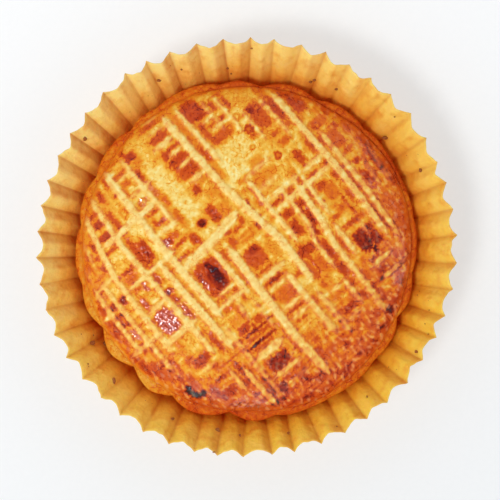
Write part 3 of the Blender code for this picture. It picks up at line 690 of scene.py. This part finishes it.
def make_pie(material):
    """The crust: a fine grid over the lid, then rings over the shell's rim and down its side."""
    share, theta = disc_grid(LID_CELLS)
    grid, baked, glazed, gloss, floury = lid_shape(share, theta)
    numbers = np.arange(share.size).reshape(share.shape)
    top = np.stack([numbers[:-1, :-1], numbers[1:, :-1], numbers[1:, 1:], numbers[:-1, 1:]], axis=-1)
    edge = np.concatenate([numbers[:-1, 0], numbers[-1, :-1], numbers[:0:-1, -1], numbers[0, :0:-1]])
    theta = theta.ravel()[edge]
    outline = pie_outline(theta)
    lid_outline = lid_edge(theta)
    ragged = ring_noise(theta, 20, 90, seed=61)
    rings, ring_baked = [], []

    def add(radius, z, brown):
        x, y = radius * np.cos(theta), radius * np.sin(theta) - OFF_CENTRE
        rings.append(np.stack([x, y, z + np.zeros_like(x)], axis=1))
        ring_baked.append(brown + np.zeros_like(x))

    shelf = outline - lid_outline
    shelf_brown = lobe_bake(theta)
    closed = np.clip(0.7 + 0.5 * ring_noise(theta, 3, 14, seed=103), 0.0, 1.0)
    groove = SEAM + closed * (SHELL_TOP - SEAM)
    add(lid_outline - 0.35 * SEAM_WIDTH, groove + 0.5 * MM, shelf_brown + 0.05)
    add(lid_outline - 0.5 * SEAM_WIDTH, groove, shelf_brown + 0.08 * (1.0 - closed))
    add(lid_outline + 0.1 * shelf, groove + 0.1 * MM, shelf_brown + 0.05 * (1.0 - closed))
    for step in SHELF_STEPS:
        radius = lid_outline + step * shelf
        x, y = radius * np.cos(theta), radius * np.sin(theta)
        lumps = 0.16 * bump_noise(x, y, 3.0 * MM, seed=89) + 0.08 * bump_noise(x, y, 1.4 * MM, seed=107)
        drop = (SHELL_TOP - SHELL_RIM) * step**3
        tone = 0.07 * bump_noise(x, y, 2.4 * MM, seed=109)
        tone = tone + 0.05 * bump_noise(x, y, 1.2 * MM, seed=149, waves=30)
        add(radius + 0.06 * MM * ragged, SHELL_TOP - drop + lumps * MM, shelf_brown + tone)
    add(outline, SHELL_RIM, shelf_brown + 0.05)
    for millimetres in SIDE_HEIGHTS:
        z = millimetres * MM
        dent = (PIE_RADIUS - outline) * (z / SHELL_RIM) ** 2
        flake = 0.10 * MM * bump_noise(theta * PIE_RADIUS, z + np.zeros_like(theta), 4.0 * MM, seed=71)
        add(side_radius(z) - dent + flake, z, 0.52)
    add(np.full_like(theta, side_radius(0.0) - FOOT_ROUNDING), BASE_PAPER + GAP, 0.5)

    count = len(theta)
    rows = [edge] + [share.size + ring * count + np.arange(count) for ring in range(len(rings))]
    sides = [ring_faces(upper, lower) for upper, lower in zip(rows, rows[1:])]
    faces = np.concatenate([top.reshape(-1, 4)] + sides).tolist() + [rows[-1][::-1].tolist()]
    points = np.concatenate([grid.reshape(-1, 3)] + rings)
    values = {
        "baked": np.concatenate([baked.ravel()] + ring_baked),
        "glazed": np.concatenate([glazed.ravel(), np.full(len(rings) * count, 0.15)]),
        "gloss": np.concatenate([gloss.ravel(), np.full(len(rings) * count, 0.03)]),
        "floury": np.concatenate([floury.ravel(), np.zeros(len(rings) * count)]),
    }
    return new_piece("pie_crust", points.tolist(), faces, material, values)


def wall_point(degrees, reach):
    """A place on the case's inner face at this angle and this far from the middle."""
    theta = math.radians(degrees)
    turn = (theta - FLUTE_PHASE) * FLUTES
    heights = np.linspace(0.3, 1.0, 200) * RIM_HEIGHT
    radii = wall_radius(heights) + flute_depth(heights) * float(flute_shape(turn)) - WALL_PAPER
    height = float(heights[np.argmin(np.abs(radii - reach))])
    return reach * math.cos(theta), reach * math.sin(theta) + off_centre(height), height + 0.1 * MM


def make_crumbs(material):
    """Crumbs of crust that fell on the wall, joined in one mesh."""
    draw = np.random.default_rng(CRUMB_SEED)
    spots = [(degrees, reach * MM, size * MM) for degrees, reach, size in CRUMBS]
    for _ in range(LOOSE_CRUMBS):
        reach = draw.uniform(64.0, 72.5) * MM
        spots.append((draw.uniform(0.0, 360.0), reach, draw.uniform(0.12, 0.35) * MM))
    mesh = bmesh.new()
    for degrees, reach, size in spots:
        made = bmesh.ops.create_icosphere(mesh, subdivisions=2, radius=0.6 * size)
        stretch = draw.uniform(0.7, 1.9, 3)
        place = np.array(wall_point(degrees, reach))
        for vertex in made["verts"]:
            ragged = 1.0 + draw.uniform(-0.22, 0.22)
            vertex.co = place + np.array(vertex.co) * stretch * ragged
    data = bpy.data.meshes.new("crumbs")
    mesh.to_mesh(data)
    mesh.free()
    data.materials.append(material)
    crumbs = bpy.data.objects.new("crumbs", data)
    bpy.context.scene.collection.objects.link(crumbs)
    return crumbs


# Materials


def colour(code):
    """A shader's colour for a screen colour written as six hex digits."""
    parts = [int(code[i:i + 2], 16) / 255.0 for i in (0, 2, 4)]
    linear = [part / 12.92 if part <= 0.04045 else ((part + 0.055) / 1.055) ** 2.4 for part in parts]
    return (*linear, 1.0)


def fill_inputs(tree, node, inputs):
    """Sets each input to its plain value, or links another node's output to it."""
    for name, value in inputs.items():
        if isinstance(value, bpy.types.NodeSocket):
            tree.links.new(value, node.inputs[name])
        else:
            node.inputs[name].default_value = value


def add_node(tree, kind, inputs=None, **settings):
    node = tree.nodes.new(kind)
    for name, value in settings.items():
        setattr(node, name, value)
    fill_inputs(tree, node, inputs or {})
    return node


def calculate(tree, operation, first, second=0.0, third=0.0, clamp=False):
    inputs = {0: first, 1: second, 2: third}
    return add_node(tree, "ShaderNodeMath", inputs, operation=operation, use_clamp=clamp).outputs[0]


def on_vectors(tree, operation, first, second=(0.0, 0.0, 0.0)):
    """Vector arithmetic. To scale, the second value is a plain number."""
    second_name = "Scale" if operation == "SCALE" else 1
    inputs = {0: first, second_name: second}
    return add_node(tree, "ShaderNodeVectorMath", inputs, operation=operation).outputs[0]


def noise(tree, place, length, detail=3.0, roughness=0.55):
    """Noise about 0, with bumps about this long."""
    inputs = {"Vector": place, "Scale": 1.0 / length, "Detail": detail, "Roughness": roughness}
    fac = add_node(tree, "ShaderNodeTexNoise", inputs).outputs["Fac"]
    return calculate(tree, "SUBTRACT", fac, 0.5)


def cells(tree, place, size, feature="F1"):
    """The distance measured in a pattern of cells about this large."""
    inputs = {"Vector": place, "Scale": 1.0 / size}
    return add_node(tree, "ShaderNodeTexVoronoi", inputs, feature=feature).outputs["Distance"]


def bump(tree, height, strength, distance):
    inputs = {"Height": height, "Strength": strength, "Distance": distance}
    return add_node(tree, "ShaderNodeBump", inputs).outputs["Normal"]


def ramp(tree, fac, stops):
    node = add_node(tree, "ShaderNodeValToRGB", {"Fac": fac})
    for position, code in stops[1:-1]:
        node.color_ramp.elements.new(position)
    for element, (position, code) in zip(node.color_ramp.elements, stops):
        element.position = position
        element.color = colour(code)
    return node.outputs["Color"]


def mix(tree, fac, first, second, blend="MIX"):
    node = add_node(tree, "ShaderNodeMix", {"Factor": fac}, data_type="RGBA", blend_type=blend)
    for socket, value in (("A_Color", first), ("B_Color", second)):
        target = next(item for item in node.inputs if item.identifier == socket)
        if isinstance(value, bpy.types.NodeSocket):
            tree.links.new(value, target)
        else:
            target.default_value = value
    return next(item for item in node.outputs if item.identifier == "Result_Color")


def new_material(name):
    """A material, its node tree, its shader and the place on the object, which its patterns follow."""
    material = bpy.data.materials.new(name)
    material.use_nodes = True
    tree = material.node_tree
    place = add_node(tree, "ShaderNodeTexCoord").outputs["Object"]
    return material, tree, tree.nodes["Principled BSDF"], place


def attribute(tree, name):
    return add_node(tree, "ShaderNodeAttribute", attribute_name=name).outputs["Fac"]


# Screen colours of the crust from pale dough to burnt, by how baked it is as a share of BAKED_RANGE; the
# last, bluish grey stop is a painted reflection over the burnt places
BAKED_STOPS = (
    (0.00, "FCEBA2"),
    (0.10, "F9DA7E"),
    (0.22, "F3BC48"),
    (0.33, "EB9C2C"),
    (0.43, "E67E1A"),
    (0.52, "DA621A"),
    (0.62, "CA4A14"),
    (0.72, "A82E0E"),
    (0.83, "62120C"),
    (0.93, "2C161A"),
    (1.00, "3A4254"),
)
BAKED_RANGE = 1.3


def crust_tone(tree, place, baked, fine):
    """How baked the crust looks, with its grain, its specks and cracks between flakes."""
    broad = noise(tree, place, 3.5 * MM)
    grain = calculate(tree, "MULTIPLY_ADD", baked, -0.14, 0.3)
    tone = calculate(tree, "MULTIPLY_ADD", fine, grain, baked)
    tone = calculate(tree, "MULTIPLY_ADD", broad, 0.22, tone)
    speck = calculate(tree, "LESS_THAN", cells(tree, place, 1.5 * MM), 0.16)
    tone = calculate(tree, "MULTIPLY_ADD", speck, 0.16, tone)
    bend = on_vectors(tree, "SCALE", noise(tree, place, 3.0 * MM), 2.0 * MM)
    flakes = cells(tree, on_vectors(tree, "ADD", place, bend), 3.2 * MM, "DISTANCE_TO_EDGE")
    crack = calculate(tree, "LESS_THAN", flakes, 0.035)
    crack = calculate(tree, "MULTIPLY", crack, calculate(tree, "GREATER_THAN", broad, 0.02))
    return calculate(tree, "MULTIPLY_ADD", crack, 0.16, tone)


def crust_material():
    """Baked dough under egg wash: matt and speckled on the bars, glossy and brown in the panes."""
    material, tree, shader, place = new_material("baked_crust_looks")
    fine = noise(tree, place, 0.9 * MM, detail=5.0, roughness=0.72)
    tone = crust_tone(tree, place, attribute(tree, "baked"), fine)
    shown = ramp(tree, calculate(tree, "DIVIDE", tone, BAKED_RANGE), BAKED_STOPS)
    dusted = calculate(tree, "MULTIPLY_ADD", fine, 0.3, 0.16)
    dusted = calculate(tree, "MULTIPLY", attribute(tree, "floury"), dusted)
    rough = calculate(tree, "MULTIPLY_ADD", attribute(tree, "glazed"), -0.24, 0.62)
    blisters = noise(tree, place, 1.3 * MM, detail=2.0)
    lumps = calculate(tree, "MULTIPLY_ADD", blisters, 0.8, fine)
    bubbles = calculate(tree, "POWER", cells(tree, place, 1.1 * MM), 2.0)
    fill_inputs(tree, shader, {
        "Base Color": mix(tree, dusted, shown, colour("FAE8B4")),
        "Roughness": calculate(tree, "MULTIPLY_ADD", fine, 0.2, rough),
        "Specular IOR Level": 0.05,
        "Normal": bump(tree, lumps, 0.7, 0.5 * MM),
        "Coat Weight": attribute(tree, "gloss"),
        "Coat Roughness": 0.06,
        "Coat IOR": 2.0,
        "Coat Normal": bump(tree, calculate(tree, "SUBTRACT", 1.0, bubbles), 1.0, 0.2 * MM),
    })
    return material


def along_flutes(tree, place):
    """Places squeezed up and down the wall, so that noise made there runs in streaks along the flutes."""
    flat = on_vectors(tree, "MULTIPLY", place, (1.0, 1.0, 0.0))
    ring = on_vectors(tree, "SCALE", on_vectors(tree, "NORMALIZE", flat), 0.8 * RIM_RADIUS)
    return on_vectors(tree, "ADD", ring, on_vectors(tree, "SCALE", place, 0.2))


def paper_colour(tree, butter, blotch, streak, lump, fibre):
    """Golden where butter has soaked in; darker low down, from butter and painted shade; painted shade on
    the folds turned from the window; a darker line along the creases.
    """
    shown = ramp(tree, butter, ((0.0, "F2D67C"), (0.45, "F0CA5A"), (1.0, "EDC843")))
    # Darker low down towards the crust: partly butter soaked in, partly painted shade and warm bounced
    # light in the deep gap beside the crust
    deep = calculate(tree, "MULTIPLY_ADD", blotch, 0.25, attribute(tree, "depth"))
    darker = ramp(tree, deep, ((0.12, "FFFFFF"), (0.34, "FFE8BC"), (0.60, "FFBE6A")))
    shown = mix(tree, 1.0, shown, darker, blend="MULTIPLY")
    # Painted shade on the fold faces turned from the window and beside the creases, multiplied in as a tan
    fold_shade_mix = calculate(tree, "MULTIPLY_ADD", streak, 0.25, attribute(tree, "painted_fold_shade"), clamp=True)
    shown = mix(tree, fold_shade_mix, shown, colour("CF9450"), blend="MULTIPLY")
    lumps = calculate(tree, "MULTIPLY", lump, 2.2)
    tanned = calculate(tree, "MULTIPLY_ADD", streak, 0.7, lumps, clamp=True)
    shown = mix(tree, tanned, shown, colour("E8B070"), blend="MULTIPLY")
    line = calculate(tree, "POWER", attribute(tree, "crease"), 14.0)
    shown = mix(tree, calculate(tree, "MULTIPLY", line, 0.12), shown, colour("C07A20"))
    return mix(tree, calculate(tree, "MULTIPLY_ADD", fibre, 0.5, 0.1), shown, colour("D99E3C"))


def paper_material():
    """Greaseproof paper that butter has soaked golden, most near the crust, where painted shade also
    darkens it low down.
    """
    material, tree, shader, place = new_material("buttery_paper_looks")
    blotch = noise(tree, place, 9.0 * MM, detail=4.0)
    fibre = noise(tree, place, 0.8 * MM, detail=4.0, roughness=0.7)
    lump = noise(tree, place, 4.5 * MM, detail=2.0)
    streak = noise(tree, along_flutes(tree, place), 2.2 * MM, roughness=0.5)
    butter = calculate(tree, "MULTIPLY_ADD", blotch, 0.9, attribute(tree, "soaked"))
    height = noise(tree, place, 2.5 * MM)
    for part, share in ((streak, 0.5), (lump, 1.5), (fibre, 0.2)):
        height = calculate(tree, "MULTIPLY_ADD", part, share, height)
    fill_inputs(tree, shader, {
        "Base Color": paper_colour(tree, butter, blotch, streak, lump, fibre),
        "Roughness": calculate(tree, "MULTIPLY_ADD", butter, -0.12, 0.6),
        "Subsurface Weight": 0.4,
        "Subsurface Radius": (1.0, 0.55, 0.2),
        "Subsurface Scale": 0.8 * MM,
        "Normal": bump(tree, height, 0.6, 0.7 * MM),
    })
    return material


def crumb_material():
    material, tree, shader, place = new_material("crumb_looks")
    fine = noise(tree, place, 0.4 * MM)
    tone = calculate(tree, "ADD", fine, 0.5)
    fill_inputs(tree, shader, {
        "Base Color": ramp(tree, tone, ((0.2, "74380F"), (0.5, "9C5420"), (0.8, "BE7C34"))),
        "Roughness": 0.7,
        "Normal": bump(tree, fine, 0.5, 0.1 * MM),
    })
    return material


def table_material():
    """A pale table, with painted shade that makes it a little darker towards the front."""
    material, tree, shader, place = new_material("pale_table")
    # Painted shade: the colour falls off towards the front, the -Y side
    back = add_node(tree, "ShaderNodeSeparateXYZ", {"Vector": place}).outputs["Y"]
    share = calculate(tree, "MULTIPLY_ADD", back, 2.2, 0.5)
    share = calculate(tree, "MULTIPLY_ADD", noise(tree, place, 2.0 * MM), 0.15, share)
    fill_inputs(tree, shader, {
        "Base Color": ramp(tree, share, ((0.0, "ABAEB0"), (1.0, "CCCCCC"))),
        "Roughness": 0.7,
        "Emission Color": (0.98, 1.0, 1.0, 1.0),
        "Emission Strength": TABLE_GLOW,
    })
    return material


# Stage


def make_table(material):
    ends = (-TABLE_REACH, TABLE_REACH)
    corners = [(x, y, TABLE_TOP) for y in ends for x in ends]
    return new_piece("table", corners, [(0, 1, 3, 2)], material)


def add_window():
    """A square soft light that faces the pie."""
    data = bpy.data.lights.new("window", "AREA")
    data.size = WINDOW_SIZE
    data.energy = WINDOW_WATTS
    data.color = WINDOW_TINT
    light = bpy.data.objects.new("window", data)
    light.location = WINDOW_PLACE
    light.rotation_euler = light.location.to_track_quat("Z", "Y").to_euler()
    bpy.context.scene.collection.objects.link(light)


def add_camera():
    data = bpy.data.cameras.new("camera")
    data.sensor_width = 36.0
    data.lens = FOCAL_PIXELS / PICTURE_WIDTH * data.sensor_width
    data.clip_start = 0.01
    camera = bpy.data.objects.new("camera", data)
    camera.location = (CAMERA_X, CAMERA_Y, CAMERA_HEIGHT)
    bpy.context.scene.collection.objects.link(camera)
    bpy.context.scene.camera = camera


def light_room():
    """Bright soft walls all round under a dim ceiling, so that the lid's flat places don't haze over."""
    world = bpy.data.worlds.new("room")
    bpy.context.scene.world = world
    world.use_nodes = True
    tree = world.node_tree
    way = add_node(tree, "ShaderNodeTexCoord").outputs["Generated"]
    height = add_node(tree, "ShaderNodeSeparateXYZ", {"Vector": way}).outputs["Z"]
    shade = ramp(tree, height, ((0.0, "F4F7FF"), (0.66, "F4F6FA"), (0.88, "58585C")))
    background = tree.nodes["Background"]
    tree.links.new(shade, background.inputs["Color"])
    background.inputs["Strength"].default_value = ROOM_STRENGTH


def light_scene():
    add_window()
    light_room()
    bpy.context.scene.view_settings.view_transform = "Standard"


def main():
    add_camera()
    light_scene()
    make_table(table_material())
    crust = make_pie(crust_material())
    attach(crust, "root")
    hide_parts("pie")
    case = make_case(paper_material())
    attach(case, "root")
    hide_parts("paper_case")
    crumbs = make_crumbs(crumb_material())
    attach(crumbs, "root")


main()
